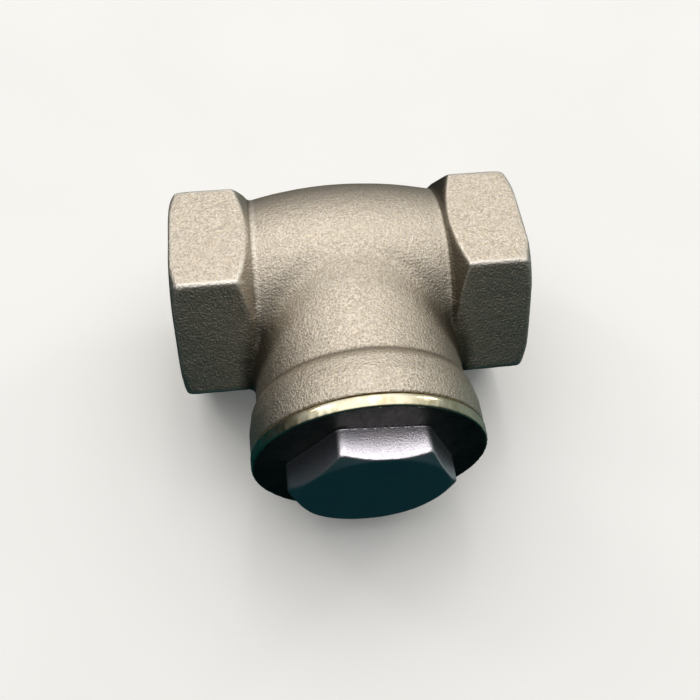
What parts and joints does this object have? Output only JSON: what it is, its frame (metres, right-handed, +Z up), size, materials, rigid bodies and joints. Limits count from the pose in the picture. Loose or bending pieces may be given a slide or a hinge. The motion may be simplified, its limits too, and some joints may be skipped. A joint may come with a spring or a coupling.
{
  "type": "t pattern strainer",
  "caption": "Threaded T-pattern pipe strainer: hexagon-ended bronze body, screwed hexagon cap on the branch, and a perforated basket screen inside.",
  "frame": {"origin": "where the run's centre line crosses the branch's centre line", "axes": "+X along the run towards the outlet port, -Y along the branch towards the screwed cap, +Z up"},
  "size_m": [0.069, 0.0698, 0.0444],
  "materials": {
    "casting": "shot-blasted",
    "machined_cap": "satin",
    "screen": "satin",
    "seal": "matte"
  },
  "bodies": {
    "casting": {"strainer_body": "casting"},
    "drawn_parts": {"cap_seal_ring": "seal", "screen_tube": "screen", "screen_liner": "screen", "screen_base_ring": "screen", "screen_top_ring": "screen"},
    "screwed_cap": {"cap": "machined_cap"}
  },
  "joints": [
    {"name": "cap_travel", "type": "slide", "parent": "casting", "child": "drawn_parts", "axis": [0, -1, 0], "range_m": [0, 0.0405]},
    {"name": "cap_turn", "type": "hinge", "parent": "drawn_parts", "child": "screwed_cap", "pos_m": [0, -0.0395, 0], "axis": [0, -1, 0], "range_deg": [0, 9720]}
  ],
  "couplings": [
    {"joint": "cap_travel", "follows": "cap_turn", "m_per_rad": 0.00023873}
  ]
}
